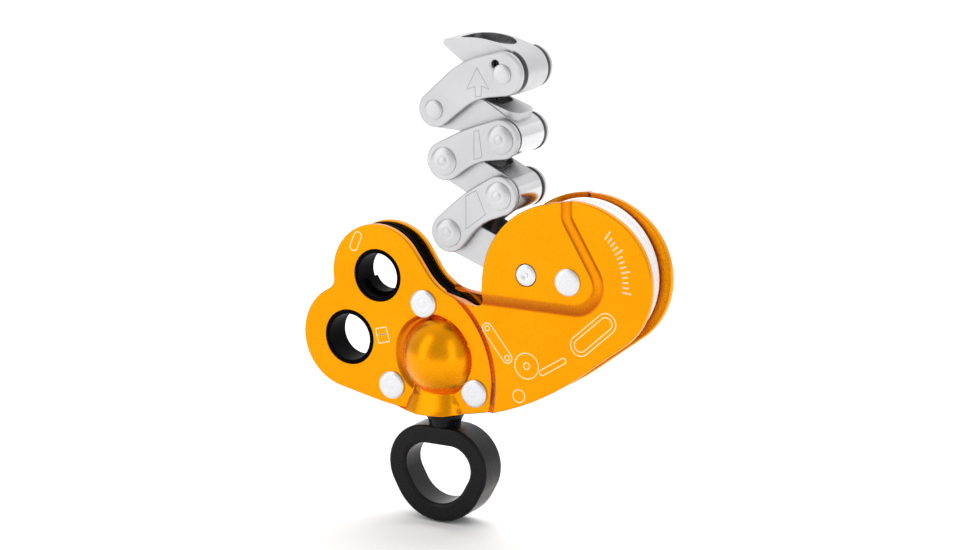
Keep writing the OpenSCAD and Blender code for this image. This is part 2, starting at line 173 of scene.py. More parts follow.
# The eye's opening, as a belt about x = 0
EYE = [(5, -43.4, 8.2, 1), (-5, -43.4, 8.2, 1), (0, -45.1, 11.8, 1)]
EYE_BAND, EYE_HALF = 6.7, 6.1
# The eye's chamfers, as (width, depth)
EYE_EDGE_OUT, EYE_EDGE_IN = (1.0, 0.55), (1.2, 0.8)

# Marks: line widths and heights, and an arc of ticks on the front plate with its angles in
# degrees
MARK_WIDTH, MARK_LIFT = 0.34, 0.02
SCRIBE_WIDTH, SCRIBE_LIFT = 0.22, 0.015
TICKS, TICKS_AT, TICKS_R, TICKS_TALLER, TICKS_START = 13, (92.5, 31.5), 18.6, 1.13, -4
TICK_PITCH, TICK_LONG, TICK_SHORT, TICK_HALF = 4.6, 3.0, 1.9, 0.12


# ---- Plane geometry ----
def belt(circles, inset=0.0, step=4.0):
    """Points of a closed belt round circles, drawn inwards by inset."""
    circles = [(x, z, r - t * inset, t) for x, z, r, t in circles]

    def heading(a, b):
        dx, dz = b[0] - a[0], b[1] - a[1]
        return math.atan2(dz, dx) - math.asin((b[3] * b[2] - a[3] * a[2]) / math.hypot(dx, dz))

    points = []
    for i, (x, z, r, turn) in enumerate(circles):
        before, after = circles[i - 1], circles[(i + 1) % len(circles)]
        start = heading(before, circles[i])
        sweep = (turn * (heading(circles[i], after) - start) + 1e-6) % math.tau - 1e-6
        count = max(1, math.ceil(math.degrees(sweep) / step))
        for k in range(count + 1):
            a = start - turn * math.pi / 2 + turn * sweep * k / count
            points.append((x + r * math.cos(a), z + r * math.sin(a)))
    return np.array(points)


def ring(at, r, count=72, start=0.0, end=math.tau):
    """Points on a circle, or on an arc of it."""
    whole = end - start > math.tau - 1e-6
    a = np.linspace(start, end, count, endpoint=not whole)
    return np.stack([at[0] + r * np.cos(a), at[1] + r * np.sin(a)], 1)


def gap_to(points, line, closed=True):
    """Distance from each point to a line of segments."""
    a = line if closed else line[:-1]
    b = np.roll(line, -1, 0) if closed else line[1:]
    best = np.full(len(points), 1e9)
    for p, q in zip(a, b):
        d = q - p
        t = np.clip(((points - p) @ d) / max(d @ d, 1e-12), 0, 1)
        best = np.minimum(best, np.hypot(*(points - p - t[:, None] * d).T))
    return best


def within(points, loop):
    """True for each point inside a closed loop."""
    x, z = points.T
    hit = np.zeros(len(points), bool)
    for (x0, z0), (x1, z1) in zip(loop, np.roll(loop, -1, 0)):
        if z0 != z1:
            hit ^= ((z0 > z) != (z1 > z)) & (x < (x1 - x0) * (z - z0) / (z1 - z0) + x0)
    return hit


def depth_in(points, loop):
    """Signed distance to a closed loop, positive inside."""
    return np.where(within(points, loop), 1, -1) * gap_to(points, loop)


def ramp(t, soft=0.16):
    """0 to 1 along a straight slope with a rounded foot and shoulder."""
    t = np.clip(t, 0, 1)
    slope = 1 / (1 - soft)
    foot, top = slope * t * t / (2 * soft), 1 - slope * (1 - t) ** 2 / (2 * soft)
    return np.where(t < soft, foot, np.where(t > 1 - soft, top, slope * (t - soft / 2)))


def dense(loop, pitch=1.5):
    """A closed loop with points added along its long runs."""
    out = []
    for a, b in zip(loop, np.roll(loop, -1, 0)):
        count = max(1, int(np.hypot(*(b - a)) / pitch))
        out += [a + (b - a) * k / count for k in range(count)]
    return np.array(out)


def rounded(points, radius, steps=5):
    """A closed profile with its corners rounded."""
    points = [np.array(p, float) for p in points]
    out = []
    for i, p in enumerate(points):
        a, b = points[i - 1] - p, points[(i + 1) % len(points)] - p
        la, lb = np.linalg.norm(a), np.linalg.norm(b)
        a, b = a / la, b / lb
        half = math.acos(np.clip(a @ b, -1, 1)) / 2
        back = min(radius / math.tan(half), la * 0.49, lb * 0.49)
        r = back * math.tan(half)
        middle = p + (a + b) / np.linalg.norm(a + b) * r / math.sin(half)
        s, e = p + a * back - middle, p + b * back - middle
        turn = math.acos(np.clip(s @ e / (r * r), -1, 1))
        for k in range(steps + 1):
            w = k / steps
            v = (math.sin((1 - w) * turn) * s + math.sin(w * turn) * e) / math.sin(turn)
            out.append(middle + v)
    return np.array(out)


def flat_face(y):
    """A height function for a flat face."""
    return lambda p: np.full(len(p), y)


def to_link(p, left, right):
    """A point of the X-Z plane in the frame of a pair of pins."""
    d = (right - left) / np.linalg.norm(right - left)
    q = np.asarray(p, float) - left
    return np.array([q @ d, q @ (-d[1], d[0])])


def span(left, right):
    """The distance between two pins."""
    return float(np.linalg.norm(right - left))


# ---- Solids, as (points, faces) in millimetres ----
def field_solid(outline, holes, outer, inner, rim=RIM, lines=(), pitch=1.3):
    """A closed solid over a region of the X-Z plane, between the heights outer and inner along Y.

    outline and each hole give their loop for an inset into the material. The edges of both faces
    are rounded by rim. lines are loops or open lines that the mesh follows."""
    arcs = [rim * (1 - math.cos(math.radians(a))) for a in (0, 22, 45, 68, 90)] + [rim * 1.35]
    loops = [(loop(inset), True) for loop in (outline, *holes) for inset in arcs]
    loops += list(lines)
    edge_loops = [loop(0) for loop in (outline, *holes)]
    lo, hi = edge_loops[0].min(0), edge_loops[0].max(0)
    rows = []
    for j, z in enumerate(np.arange(lo[1], hi[1], pitch * 0.866)):
        xs = np.arange(lo[0] + (j % 2) * pitch / 2, hi[0], pitch)
        rows.append(np.stack([xs, np.full(len(xs), z)], 1))
    grid = np.concatenate(rows)
    keep = depth_in(grid, edge_loops[0]) > rim * 1.35 + pitch * 0.4
    for hole in edge_loops[1:]:
        keep &= depth_in(grid, hole) < -(rim * 1.35 + pitch * 0.4)
    grid = grid[keep]
    for line, closed in lines:
        grid = grid[gap_to(grid, line, closed) > pitch * 0.3]
    points, edges = [], []
    for line, closed in loops:
        first = len(points)
        points += [Vector(p) for p in line]
        count = len(line)
        edges += [(first + k, first + (k + 1) % count) for k in range(count - (not closed))]
    points += [Vector(p) for p in grid]
    flat, _, faces, *_ = delaunay_2d_cdt(points, edges, [], 0, 1e-4, False)
    flat = np.array([tuple(p) for p in flat])
    faces = np.array([f for f in faces if len(f) == 3])
    middle = flat[faces].mean(1)
    keep = within(middle, edge_loops[0])
    for hole in edge_loops[1:]:
        keep &= ~within(middle, hole)
    a, b, c = (flat[faces[:, k]] for k in range(3))
    area = (b[:, 0] - a[:, 0]) * (c[:, 1] - a[:, 1]) - (b[:, 1] - a[:, 1]) * (c[:, 0] - a[:, 0])
    faces = faces[keep & (np.abs(area) > 1e-7)]
    used = np.unique(faces)
    renumber = np.zeros(len(flat), int)
    renumber[used] = np.arange(len(used))
    flat, faces = flat[used], renumber[faces]
    edge_gap = np.min([gap_to(flat, loop) for loop in edge_loops], 0)
    inside = np.clip(rim - edge_gap, 0, rim)
    drop = rim - np.sqrt(np.maximum(rim * rim - inside * inside, 0))
    high, low = outer(flat), inner(flat)
    sign = np.sign(high - low)
    top = np.stack([flat[:, 0], high - sign * drop, flat[:, 1]], 1)
    base = np.stack([flat[:, 0], low + sign * drop, flat[:, 1]], 1)
    n = len(flat)
    seen = {}
    for f in faces.tolist():
        for k in range(3):
            e = (f[k], f[(k + 1) % 3])
            seen[e] = seen.get(e, 0) + 1
    out = faces.tolist() + [[n + i for i in reversed(f)] for f in faces.tolist()]
    out += [[i, j, n + j, n + i] for i, j in seen if (j, i) not in seen]
    return np.concatenate([top, base]), out


def lathe(profile, at, axis="y", count=96, closed=True):
    """A profile of (radius, height) turned about an axis along Y, or along Z for axis "z".

    at is the axis's place: (x, z) for Y, or (x, y) for Z."""
    points, faces, rows = [], [], []
    for r, h in profile:
        if r < 1e-6:
            rows.append([len(points)])
            points.append((0, 0, h))
            continue
        rows.append(list(range(len(points), len(points) + count)))
        points += [(r * math.cos(math.tau * k / count), r * math.sin(math.tau * k / count), h)
                   for k in range(count)]
    for i in range(len(rows) if closed else len(rows) - 1):
        a, b = rows[i], rows[(i + 1) % len(rows)]
        for k in range(count):
            j = (k + 1) % count
            if len(a) > 1 and len(b) > 1:
                faces.append([a[k], a[j], b[j], b[k]])
            elif len(b) > 1:
                faces.append([a[0], b[j], b[k]])
            elif len(a) > 1:
                faces.append([a[k], a[j], b[0]])
    points = np.array(points)
    if axis == "y":
        points = np.stack([points[:, 0] + at[0], points[:, 2], points[:, 1] + at[1]], 1)
    else:
        points = points + (at[0], at[1], 0)
    return points, faces


def loft(rings):
    """A closed solid through rings of equal point counts, capped by its first and last ring."""
    count = len(rings[0])
    faces = [list(range(count)), [(len(rings) - 1) * count + k for k in reversed(range(count))]]
    for i in range(len(rings) - 1):
        for k in range(count):
            j = (k + 1) % count
            faces.append([i * count + k, i * count + j, (i + 1) * count + j, (i + 1) * count + k])
    return np.concatenate(rings), faces


def slab(loop, y0, y1):
    """A flat shape in the X-Z plane, thick from y0 to y1."""
    return loft([np.stack([loop[:, 0], np.full(len(loop), y), loop[:, 1]], 1) for y in (y0, y1)])


def tower(loop, z0, z1):
    """A flat shape in the X-Y plane, from z0 up to z1."""
    return loft([np.stack([loop[:, 0], loop[:, 1], np.full(len(loop), z)], 1) for z in (z0, z1)])


def ribbon(line, width, height, side, lift):
    """A thin raised closed line on a face at y = side * height(points)."""
    line = np.array(line, float)
    a, b = line - np.roll(line, 1, 0), np.roll(line, -1, 0) - line
    a /= np.linalg.norm(a, axis=1)[:, None]
    b /= np.linalg.norm(b, axis=1)[:, None]
    normal = np.stack([-(a + b)[:, 1], (a + b)[:, 0]], 1)
    normal /= np.linalg.norm(normal, axis=1)[:, None]
    grow = 1 / np.maximum(np.abs(normal[:, 0] * -a[:, 1] + normal[:, 1] * a[:, 0]), 0.5)
    rows = []
    for edge, up in ((-1, -lift), (-1, lift), (1, lift), (1, -lift)):
        p = line + normal * (edge * width / 2 * grow)[:, None]
        rows.append(np.stack([p[:, 0], side * (height(p) + up), p[:, 1]], 1))
    n, faces = len(line), []
    for i in range(n):
        j = (i + 1) % n
        for k in range(4):
            m = (k + 1) % 4
            faces.append([k * n + i, k * n + j, m * n + j, m * n + i])
    return np.concatenate(rows), faces


def on_pins(solid, left, right):
    """A solid made with its left pin at the origin and its right pin on +X, placed on two pins."""
    points, faces = solid
    d = right - left
    c, s = d / np.linalg.norm(d)
    x = left[0] + c * points[:, 0] - s * points[:, 2]
    z = left[1] + s * points[:, 0] + c * points[:, 2]
    return np.stack([x, points[:, 1], z], 1), faces


# ---- Objects ----
def new_mesh(name, solids):
    """An object of one or more solids, its faces turned outwards."""
    points = np.concatenate([p for p, _ in solids]) * MM
    faces, first = [], 0
    for p, f in solids:
        faces += [[first + i for i in face] for face in f]
        first += len(p)
    mesh = bpy.data.meshes.new(name)
    mesh.from_pydata(points.tolist(), [], faces)
    bm = bmesh.new()
    bm.from_mesh(mesh)
    bmesh.ops.recalc_face_normals(bm, faces=bm.faces)
    bm.to_mesh(mesh)
    bm.free()
    obj = bpy.data.objects.new(name, mesh)
    bpy.context.scene.collection.objects.link(obj)
    return obj


def shade(obj, sharp=32):
    """Smooth shading with sharp edges where faces meet at more than sharp degrees."""
    bm = bmesh.new()
    bm.from_mesh(obj.data)
    for face in bm.faces:
        face.smooth = True
    for edge in bm.edges:
        edge.smooth = len(edge.link_faces) == 2 and edge.calc_face_angle(0) < math.radians(sharp)
    bm.to_mesh(obj.data)
    bm.free()


def piece(name, solids, material, body, *nodes, bevel=0.0, sharp=32):
    """A finished piece: its mesh, material, body and the CAD nodes that it stands for."""
    obj = solids if isinstance(solids, bpy.types.Object) else new_mesh(name, solids)
    obj.data.materials.clear()
    obj.data.materials.append(material)
    shade(obj, sharp)
    if bevel:
        soft = obj.modifiers.new("edges", "BEVEL")
        soft.width, soft.segments = bevel * MM, 3
        soft.limit_method, soft.angle_limit = "ANGLE", math.radians(28)
    weight = obj.modifiers.new("normals", "WEIGHTED_NORMAL")
    weight.keep_sharp = True
    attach(obj, body)
    if nodes:
        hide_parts(*nodes)
    return obj


def carve(name, base, joins=(), cuts=()):
    """A mesh object: base with joins added and then cuts taken away."""
    obj = new_mesh(name, [base])
    tools = [(new_mesh(name + ".tool", [s]), "UNION") for s in joins]
    tools += [(new_mesh(name + ".tool", [s]), "DIFFERENCE") for s in cuts]
    for tool, operation in tools:
        mod = obj.modifiers.new("cut", "BOOLEAN")
        mod.operation, mod.solver, mod.object = operation, "EXACT", tool
    bpy.context.view_layer.update()
    shaped = obj.evaluated_get(bpy.context.evaluated_depsgraph_get())
    mesh = bpy.data.meshes.new_from_object(shaped)
    obj.modifiers.clear()
    obj.data = mesh
    for tool, _ in tools:
        bpy.data.objects.remove(tool)
    bm = bmesh.new()
    bm.from_mesh(mesh)
    bmesh.ops.remove_doubles(bm, verts=bm.verts, dist=0.01 * MM)
    bmesh.ops.dissolve_limit(bm, angle_limit=math.radians(1), verts=bm.verts, edges=bm.edges)
    bm.to_mesh(mesh)
    bm.free()
    return obj


def place(obj, left, right):
    """Moves a mesh that was made along +X onto a pair of pins."""
    points = np.array([v.co[:] for v in obj.data.vertices]) / MM
    moved, _ = on_pins((points, []), left, right)
    for v, p in zip(obj.data.vertices, moved):
        v.co = p * MM


def paint(obj, material, left, right, test):
    """Gives a second finish to the faces that pass a test in the frame of a pair of pins."""
    d = (right - left) / np.linalg.norm(right - left)
    obj.data.materials.append(material)
    for face in obj.data.polygons:
        u, v = to_link((face.center[0] / MM, face.center[2] / MM), left, right)
        n = face.normal
        turned = (n[0] * d[0] + n[2] * d[1], n[1], n[2] * d[0] - n[0] * d[1])
        if test(u, face.center[1] / MM, v, turned):
            face.material_index = len(obj.data.materials) - 1


# ---- Materials ----
# Sockets of a Mix node set to colours
MIX_FACTOR, MIX_A, MIX_B, MIX_RESULT = 0, 6, 7, 2
# Scale of the clouds in a colour, and depth of the grain in metres
CLOUD_SCALE, GRAIN_DEPTH = 60.0, 0.0002


def metal(name, colour, second, rough, metallic=1.0, grain=1200.0, bump=0.05, gloss=0.5,
          painted_shade=None):
    """A procedural metal or plastic: cloudy colour, fine grain in roughness and bump.

    The last argument is a second colour of painted shade, blended in by the mesh attribute of the
    same name."""
    mat = bpy.data.materials.new(name)
    mat.use_nodes = True
    nodes, links = mat.node_tree.nodes, mat.node_tree.links
    shader = nodes["Principled BSDF"]
    shader.inputs["Metallic"].default_value = metallic
    shader.inputs["Specular IOR Level"].default_value = gloss
    coords = nodes.new("ShaderNodeTexCoord")

    def noise(scale, detail):
        node = nodes.new("ShaderNodeTexNoise")
        node.inputs["Scale"].default_value = scale
        node.inputs["Detail"].default_value = detail
        links.new(coords.outputs["Object"], node.inputs["Vector"])
        return node

    cloud, fine = noise(CLOUD_SCALE, 3.0), noise(grain, 2.0)
    tint = nodes.new("ShaderNodeValToRGB")
    tint.color_ramp.elements[0].position, tint.color_ramp.elements[1].position = 0.3, 0.7
    tint.color_ramp.elements[0].color = (*colour, 1)
    tint.color_ramp.elements[1].color = (*second, 1)
    links.new(cloud.outputs["Fac"], tint.inputs["Fac"])
    links.new(tint.outputs["Color"], shader.inputs["Base Color"])
    if painted_shade:
        # Painted shade: the second colour is mixed in by the mesh attribute
        tone, blend = nodes.new("ShaderNodeAttribute"), nodes.new("ShaderNodeMix")
        tone.attribute_name, blend.data_type = "painted_shade", "RGBA"
        blend.inputs[MIX_B].default_value = (*painted_shade, 1)
        links.new(tone.outputs["Fac"], blend.inputs[MIX_FACTOR])
        links.new(tint.outputs["Color"], blend.inputs[MIX_A])
        links.new(blend.outputs[MIX_RESULT], shader.inputs["Base Color"])
    spread = nodes.new("ShaderNodeMapRange")
    spread.inputs["From Min"].default_value, spread.inputs["From Max"].default_value = 0.25, 0.75
    spread.inputs["To Min"].default_value = rough * 0.85
    spread.inputs["To Max"].default_value = rough * 1.15
    links.new(fine.outputs["Fac"], spread.inputs["Value"])
    links.new(spread.outputs["Result"], shader.inputs["Roughness"])
    relief = nodes.new("ShaderNodeBump")
    relief.inputs["Strength"].default_value = bump
    relief.inputs["Distance"].default_value = GRAIN_DEPTH
    links.new(fine.outputs["Fac"], relief.inputs["Height"])
    links.new(relief.outputs["Normal"], shader.inputs["Normal"])
    return mat


# Orange anodising, with painted shade in a deeper orange-brown on slopes and in hollows
ORANGE = metal("anodised_orange", (0.79, 0.278, 0.002), (0.82, 0.30, 0.003), 0.28,
               bump=0.004, painted_shade=(0.50, 0.105, 0.004))
# Steel in lighter painted shade, for the walls of rope windows and a straight link's top
STEEL_PAINTED_SOFT_SHADE = metal("steel_painted_soft_shade", (0.28, 0.28, 0.285), (0.38, 0.38, 0.39), 0.3,
             grain=900)
# Steel in dark painted shade, for faces turned in to the links and inside the fork
STEEL_PAINTED_DARK_SHADE = metal("steel_painted_dark_shade", (0.10, 0.10, 0.102), (0.14, 0.14, 0.142), 0.5,
               grain=2600, bump=0.1)
ETCH = metal("etched_line", (1.0, 0.74, 0.42), (1.0, 0.80, 0.50), 0.5, metallic=0.3)
BLACK = metal("black_anodised", (0.004, 0.004, 0.005), (0.006, 0.006, 0.007), 0.27,
              metallic=0.0, gloss=0.15, bump=0.004)
NYLON = metal("black_nylon", (0.002, 0.002, 0.0025), (0.003, 0.003, 0.004), 0.36,
              metallic=0.0, gloss=0.01, grain=900)
RUBBER = metal("black_rubber", (0.02, 0.02, 0.02), (0.03, 0.03, 0.03), 0.7, metallic=0.0)
BLASTED = metal("blasted_steel", (0.51, 0.51, 0.52), (0.57, 0.57, 0.58), 0.42,
                metallic=0.95, grain=2600, bump=0.3)
POLISHED = metal("polished_steel", (0.58, 0.58, 0.59), (0.65, 0.65, 0.66), 0.2,
                 grain=1500, bump=0.02)
PIN_STEEL = metal("pin_steel", (0.50, 0.50, 0.51), (0.55, 0.55, 0.56), 0.3,
                  grain=2600, bump=0.0)
RIVET_STEEL = metal("rivet_steel", (0.64, 0.64, 0.66), (0.70, 0.70, 0.72), 0.3,
                    grain=2600, bump=0.0)
SHEAVE = metal("sheave_alloy", (0.88, 0.88, 0.89), (0.92, 0.92, 0.93), 0.35,
               metallic=0.0, grain=1500)
WASHER = metal("washer_black", (0.01, 0.01, 0.01), (0.02, 0.02, 0.02), 0.4,
               metallic=0.3)
SCRIBED = metal("scribed_line", (0.25, 0.25, 0.26), (0.32, 0.32, 0.33), 0.5,
                metallic=0.6)


# ---- Side plates ----
BOSS_LOOP = belt(BOSS_FOOT)
# Half the distance over which a slope is measured, and the slopes with the darkest painted shade
SAMPLE, STEEP, STEEP_INSIDE = 0.2, 0.35, 0.4


def base_height(p):
    """Height of a side plate's outer face before the swivel's housing is raised in it."""
    radius = np.hypot(*(p - STEP_AT).T)
    t = (radius - STEP_FOOT + STEP_EASE) / (STEP_TOP - STEP_FOOT + 2 * STEP_EASE)
    step = np.where(p[:, 0] > SWIVEL_X, ramp(t), 0)
    corner = np.array(BOSS_FOOT[0][:2])
    away = p - corner
    down = np.where(p[:, 0] < corner[0], 1, -away[:, 1] / np.maximum(np.hypot(*away.T), 0.1))
    wide = BOSS_SLOPE_SIDE + (BOSS_SLOPE_BASE - BOSS_SLOPE_SIDE) * ramp(down) * (away[:, 1] < 0)
    boss = ramp(depth_in(p, BOSS_LOOP) / wide)
    return LOBE + (CHEEK - LOBE) * step + (BOSS - CHEEK) * step * boss


def plate_height(p):
    """Height of a side plate's outer face."""
    height = base_height(p)
    ring_in = GROOVE_R - np.hypot(*(p - GROOVE_AT).T)
    height -= GROOVE_DEEP * ramp(ring_in / GROOVE_SLOPE)
    dx, dz = p[:, 0] - SWIVEL_X, p[:, 1] - DOME[1]
    dome = DOME_CROWN * np.sqrt(np.maximum(1 - (dx * dx + dz * dz) / DOME_R ** 2, 0))
    t = np.clip((p[:, 1] - NECK_TOP_Z) / (NECK_BASE_Z - NECK_TOP_Z), 0, 1)
    wide = NECK_WIDE[0] + (NECK_WIDE[1] - NECK_WIDE[0]) * t
    high = NECK_HIGH[0] + (NECK_HIGH[1] - NECK_HIGH[0]) * t ** 1.3
    neck = high * np.maximum(1 - np.abs((p[:, 0] - NECK_X) / wide) ** 3, 0) ** (1 / 3)
    return np.maximum(np.maximum(height, dome), neck * (p[:, 1] < NECK_TOP_Z))


def painted_shade_outside(p):
    """How much painted shade the outer face gets, from 0 to 1: on slopes that face down or left, at
    the foot and the shoulder of the boss's right slope, and in the hollow round the dome."""
    e = SAMPLE
    up = plate_height(p + (0, e)) - plate_height(p - (0, e))
    along = plate_height(p + (e, 0)) - plate_height(p - (e, 0))
    from_dome, from_groove = np.hypot(*(p - DOME).T), np.hypot(*(p - GROOVE_AT).T)
    slope = np.clip((np.maximum(up, 0) + np.maximum(along, 0)) / (2 * e) / STEEP, 0, 1)
    high = base_height(p)
    share = np.where(high > CHEEK, (high - CHEEK) / (BOSS - CHEEK), (high - LOBE) / (CHEEK - LOBE))
    slope *= np.clip(1.15 - share, 0, 1) ** 0.8
    right = np.clip(np.maximum(-along, 0) / (2 * e) / STEEP, 0, 1) * (high > CHEEK)
    slope = np.maximum(slope, right * (0.2 + 0.65 * np.abs(2 * share - 1)))
    slope *= (from_dome > DOME_R) & (p[:, 1] > NECK_TOP_Z - 3)
    hollow = (from_groove < GROOVE_R - 0.3) & (from_dome > DOME_R - 1.2)
    hollow &= (p[:, 1] > NECK_TOP_Z) | (np.abs(p[:, 0] - NECK_X) > NECK_WIDE[0] - 0.4)
    return np.maximum(slope, 0.75 * hollow)


def painted_shade_inside(p):
    """How much painted shade the inner face gets, from 0 to 1: beside the sheave, and on the slope
    behind the boss.
    """
    e = SAMPLE
    up = plate_depth(p + (0, e)) - plate_depth(p - (0, e))
    along = plate_depth(p + (e, 0)) - plate_depth(p - (e, 0))
    slope = np.clip(np.hypot(up, along) / (2 * e) / STEEP_INSIDE, 0, 1)
    return np.maximum(slope, np.clip((SHEAVE_ROOM_R - np.hypot(*(p - AXLE).T)) / 1.2, 0, 1))


def plate_depth(p):
    """Height of a side plate's inner face."""
    shift = p + (STEP_AT - p) / np.hypot(*(p - STEP_AT).T)[:, None] * STEP_SHIFT_INSIDE
    radius = np.hypot(*(shift - STEP_AT).T)
    t = (radius - STEP_FOOT + STEP_EASE) / (STEP_TOP - STEP_FOOT + 2 * STEP_EASE)
    height = LOBE - PLATE_T + (CHEEK - LOBE) * np.where(p[:, 0] > SWIVEL_X, ramp(t), 0)
    boss = ramp((depth_in(p, BOSS_LOOP) - BOSS_ROOM_INSET) / BOSS_ROOM_SLOPE)
    height += (BOSS - CHEEK) * boss
    dx, dz = p[:, 0] - SWIVEL_X, p[:, 1] - DOME[1]
    dome = np.sqrt(np.maximum((DOME_CROWN - DOME_WALL) ** 2 - dx * dx - dz * dz, 0))
    seal = np.sqrt(np.maximum(SEAL_ROOM_R ** 2 - dx * dx, 0)) * (p[:, 1] < SEAL_ROOM_TOP_Z)
    stem = np.sqrt(np.maximum(STEM_ROOM_R ** 2 - dx * dx, 0)) * (p[:, 1] < STEM_ROOM_TOP_Z)
    return np.maximum(np.maximum(height, dome), np.maximum(seal, stem))


def plate_lines():
    """Lines that a side plate's mesh follows: the step, the boss, the dome, its groove and neck."""
    lines = []
    for r in np.linspace(STEP_FOOT - 0.3, STEP_TOP + 0.3, 10):
        lines.append((ring(STEP_AT, r, 90, math.radians(-30), math.radians(55)), False))
    for inset in (-0.2, 0, 0.4, 0.9, 1.5, 2.1, 2.7, 3.1, 3.4, 4.1, 4.7, 5.1, 5.5):
        lines.append((dense(belt(BOSS_FOOT, inset)), True))
    for angle in np.arange(4, 68, 4.0):
        lines.append((ring(DOME, DOME_R * math.sin(math.radians(angle)), 72), True))
    for r in (14.05, 14.37, 14.7):
        lines.append((ring(DOME, r, 96), True))
    for r in (GROOVE_R + 0.05, GROOVE_R - 0.2, GROOVE_R - 0.5, GROOVE_R - 0.9, GROOVE_R - 1.2,
              GROOVE_R - 1.5):
        lines.append((ring(GROOVE_AT, r, 96), True))
    for share in (1.0, 0.98, 0.94, 0.88):
        sides = [(NECK_X + k * share * w, z) for k, w, z in (
            (-1, NECK_WIDE[0], NECK_TOP_Z), (-1, NECK_WIDE[1], NECK_BASE_Z),
            (1, NECK_WIDE[1], NECK_BASE_Z), (1, NECK_WIDE[0], NECK_TOP_Z))]
        lines += [(np.linspace(sides[0], sides[1], 8), False),
                  (np.linspace(sides[2], sides[3], 8), False)]
    across = np.linspace(NECK_X - 10, NECK_X + 10, 30)
    for z in (NECK_TOP_Z + 0.02, NECK_TOP_Z - 0.02):
        lines.append((np.stack([across, np.full(30, z)], 1), False))
    return lines


def side_plate(name, node, side, outline):
    """A forged side plate, with its painted shade in the mesh attribute that its material reads."""
    holes = [
        lambda inset: ring(UPPER_HOLE, UPPER_BUSH_R + BUSH_FIT + inset),
        lambda inset: ring(LOWER_HOLE, LOWER_BUSH_R + BUSH_FIT + inset),
        lambda inset: ring(FORK_PIVOT, PIVOT_HOLE_R + inset, 48),
    ]
    solid = field_solid(
        lambda inset: belt(outline, inset, 3.0), holes,
        lambda p: side * plate_height(p), lambda p: side * plate_depth(p),
        lines=plate_lines())
    obj = piece(name, [solid], ORANGE, "root", node, sharp=38)
    obj.modifiers.clear()
    # Painted shade: how much each vertex gets, on the outer face and then on the inner face
    tone = obj.data.attributes.new("painted_shade", "FLOAT", "POINT")
    flat = solid[0][:len(solid[0]) // 2, [0, 2]]
    values = np.concatenate([painted_shade_outside(flat), painted_shade_inside(flat)])
    tone.data.foreach_set("value", values.astype(np.float32))


side_plate("plate_front", "front_side_plate", -1, BODY)
side_plate("plate_rear", "rear_side_plate", 1, REAR_BODY)

# ---- Between and through the plates ----
# The spacer: its edge as (inset from the body, y), the room for the sheave, and the room for the
# swivel as (radius, z)
ridge = [(0.7, -SPACER_HALF), (0.7, -1.75), (0.35, -1.6), (0.35, -1.2), (0.7, -1.05),
         (0.7, 1.05), (0.35, 1.2), (0.35, 1.6), (0.7, 1.75), (0.7, SPACER_HALF)]
rows = []
for inset, y in ridge:
    loop = belt(BODY, inset)
    rows.append(np.stack([loop[:, 0], np.full(len(loop), y), loop[:, 1]], 1))
beyond = np.concatenate([
    ring(STEP_AT, STEP_FOOT - 0.9, 60, math.radians(-60), math.radians(61.6)),
    [(60, 60), (150, 60), (150, -60)]])
room = [(0, -60), (8.65, -60), (8.65, SEAL_ROOM_TOP_Z), (7.1, SEAL_ROOM_TOP_Z), (7.1, -6.4),
        (11.55, -6.4), (11.55, 0.6), (7.6, 0.6), (7.6, 8.2), (0, 8.2)]
spacer = carve("spacer", loft(rows), (), [
    slab(beyond, -10, 10), slab(ring(UPPER_HOLE, UPPER_BUSH_R), -10, 10),
    slab(ring(LOWER_HOLE, LOWER_BUSH_R), -10, 10),
    lathe(room, (SWIVEL_X, 0), axis="z", closed=False)])
piece("spacer", spacer, NYLON, "root", "core_spacer", sharp=25)


def bushing(at, r_out, r_in):
    """A sleeve through both plates, a little proud of their faces."""
    half = LOBE + BUSH_PROUD
    profile = rounded([(r_out, -half), (r_out, half), (r_in, half), (r_in, -half)], 0.55)
    return lathe(profile, at)


piece("bushing_lower", [bushing(LOWER_HOLE, LOWER_BUSH_R, LOWER_BORE_R)], NYLON, "root",
      "lower_bushing")
piece("bushing_upper", [bushing(UPPER_HOLE, UPPER_BUSH_R, UPPER_BORE_R)], NYLON, "root",
      "upper_bushing")


def arc_bar(at, profile, start, end):
    """A profile of (radius, y) swept along an arc in the X-Z plane, from start to end degrees."""
    rings = []
    for a in np.radians(np.linspace(start, end, 40)):
        rings.append(np.array([(at[0] + r * math.cos(a), y, at[1] + r * math.sin(a))
                               for r, y in profile]))
    return loft(rings)


keeper = rounded([(UPPER_BORE_R - BUSH_FIT, -1), (UPPER_BORE_R - BUSH_FIT, LOBE),
                  (KEEPER_BORE_R, LOBE), (KEEPER_BORE_R, -1)], 0.3)
piece("keeper", [arc_bar(UPPER_HOLE, keeper, -158, -22)], NYLON, "root", "upper_hole_keeper")


def headed(at, r, seat, head_r, head_h, dome, groove=0.0):
    """A round bar with a rounded head on each end, seated at y = +seat and -seat.

    dome is how far the head falls from its middle to its edge, and groove a ring cut in it."""
    top = seat + head_h
    half = [(0, top), (head_r * 0.30, top - dome * 0.06)]
    if groove:
        half += [(head_r * 0.33, top - dome * 0.08 - groove),
                 (head_r * 0.36, top - dome * 0.1)]
    half += [(head_r * 0.6, top - dome * 0.36), (head_r * 0.8, top - dome * 0.8),
             (head_r * 0.93, top - dome - head_h * 0.12),
             (head_r * 0.985, top - dome - head_h * 0.3), (head_r, seat + 0.12), (head_r, seat),
             (r, seat)]
    profile = half + [(p, -y) for p, y in reversed(half)]
    return lathe(profile, at, count=72, closed=False)


rivets = [headed(at, RIVET_R, LOBE, RIVET_HEAD_R, RIVET_HEAD_H, 0.12, 0.03) for at in RIVETS]
piece("rivets", rivets, RIVET_STEEL, "root", "body_rivets", sharp=28)
axle = headed(AXLE, AXLE_R, BOSS, AXLE_HEAD_R, AXLE_HEAD_H, 0.1)
piece("axle", [axle], RIVET_STEEL, "root", "sheave_axle", sharp=28)


